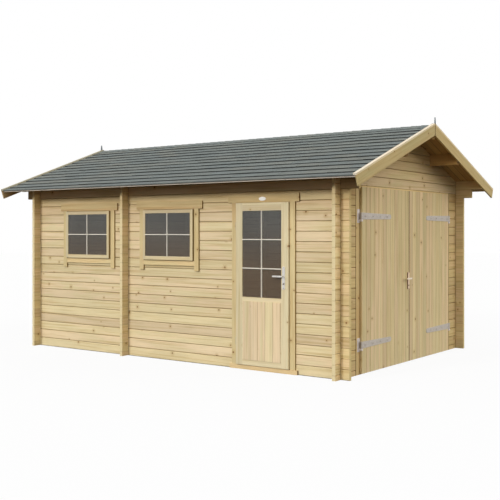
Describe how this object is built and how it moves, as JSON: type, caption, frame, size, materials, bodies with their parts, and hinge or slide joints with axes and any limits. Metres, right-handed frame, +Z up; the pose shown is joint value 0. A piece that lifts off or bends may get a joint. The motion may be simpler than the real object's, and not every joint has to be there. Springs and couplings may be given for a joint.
{
  "type": "log cabin garage",
  "caption": "Small garage of interlocking planed logs under a low shingled gable roof, with boarded double doors on strap hinges, a glazed side door and small windows.",
  "frame": {"origin": "centre of the wall outline at ground level", "axes": "+X points out of the double-door gable, -Y points out of the long wall with the windows and side door, +Z is up"},
  "size_m": [5.964, 4.0828, 3.1189],
  "materials": {
    "wall_logs": "planed softwood logs, clear treated",
    "roof_timber": "planed softwood boards",
    "trim_wood": "planed softwood boards",
    "door_boards": "tongued upright boards",
    "sash_wood": "smooth pale joinery",
    "slate_shingle": "grey mineral-faced felt shingles",
    "pane_glass": "clear",
    "galvanised_steel": "galvanised",
    "handle_metal": "satin",
    "finial_metal": "grey"
  },
  "bodies": {
    "building": {"back_roof_boards": "roof_timber", "back_shingles": "slate_shingle", "back_tie_logs": "wall_logs", "back_wall": "wall_logs", "door_gable_back_logs": "wall_logs", "door_gable_bargeboards": "roof_timber", "door_gable_front_logs": "wall_logs", "door_gable_top_logs": "wall_logs", "door_gable_verge_strips": "roof_timber", "front_roof_boards": "roof_timber", "front_shingles": "slate_shingle", "front_tie_logs": "wall_logs", "front_wall": "wall_logs", "front_wall_corner": "wall_logs", "front_wall_top": "wall_logs", "garage_frame": "door_boards", "left_pintles": "galvanised_steel", "rear_gable_bargeboards": "roof_timber", "rear_gable_verge_strips": "roof_timber", "rear_gable_wall": "wall_logs", "ridge_finials": "finial_metal", "ridge_purlin": "roof_timber", "ridge_shingles": "slate_shingle", "right_pintles": "galvanised_steel", "side_door_casing": "trim_wood", "side_door_frame": "trim_wood", "side_door_hinge_pins": "galvanised_steel", "side_door_threshold": "trim_wood", "side_purlins": "roof_timber", "window_1_casing": "trim_wood", "window_1_frame": "trim_wood", "window_1_glass": "pane_glass", "window_1_sash": "sash_wood", "window_2_casing": "trim_wood", "window_2_frame": "trim_wood", "window_2_glass": "pane_glass", "window_2_sash": "sash_wood"},
    "left_leaf": {"left_leaf_boards": "door_boards", "left_leaf_ledges": "door_boards", "left_leaf_straps": "galvanised_steel", "garage_handle_plates": "handle_metal"},
    "right_leaf": {"right_leaf_boards": "door_boards", "right_leaf_ledges": "door_boards", "right_leaf_straps": "galvanised_steel"},
    "side_door": {"side_door_leaf": "sash_wood", "side_door_panel": "sash_wood", "side_door_glass": "pane_glass", "side_door_knuckles": "galvanised_steel", "side_door_handle_plates": "handle_metal"},
    "garage_lever": {"garage_lever": "handle_metal"},
    "side_door_lever": {"side_door_lever": "handle_metal"}
  },
  "joints": [
    {"name": "left_leaf_swing", "type": "hinge", "parent": "building", "child": "left_leaf", "pos_m": [2.6108, -1.244, 1.1], "axis": [0, 0, -1], "range_deg": [0, 110]},
    {"name": "right_leaf_swing", "type": "hinge", "parent": "building", "child": "right_leaf", "pos_m": [2.6108, 1.304, 1.1], "axis": [0, 0, 1], "range_deg": [0, 110]},
    {"name": "side_door_swing", "type": "hinge", "parent": "building", "child": "side_door", "pos_m": [1.1207, -1.7026, 1], "axis": [0, 0, -1], "range_deg": [0, 105]},
    {"name": "garage_lever_turn", "type": "hinge", "parent": "left_leaf", "child": "garage_lever", "pos_m": [2.608, -0.003, 1.078], "axis": [1, 0, 0], "range_deg": [0, 40], "stiffness_Nm_per_rad": 1.5, "springref_deg": -34.38},
    {"name": "side_door_lever_turn", "type": "hinge", "parent": "side_door", "child": "side_door_lever", "pos_m": [1.835, -1.72, 1.15], "axis": [0, -1, 0], "range_deg": [0, 40], "stiffness_Nm_per_rad": 1.5, "springref_deg": -34.38}
  ]
}
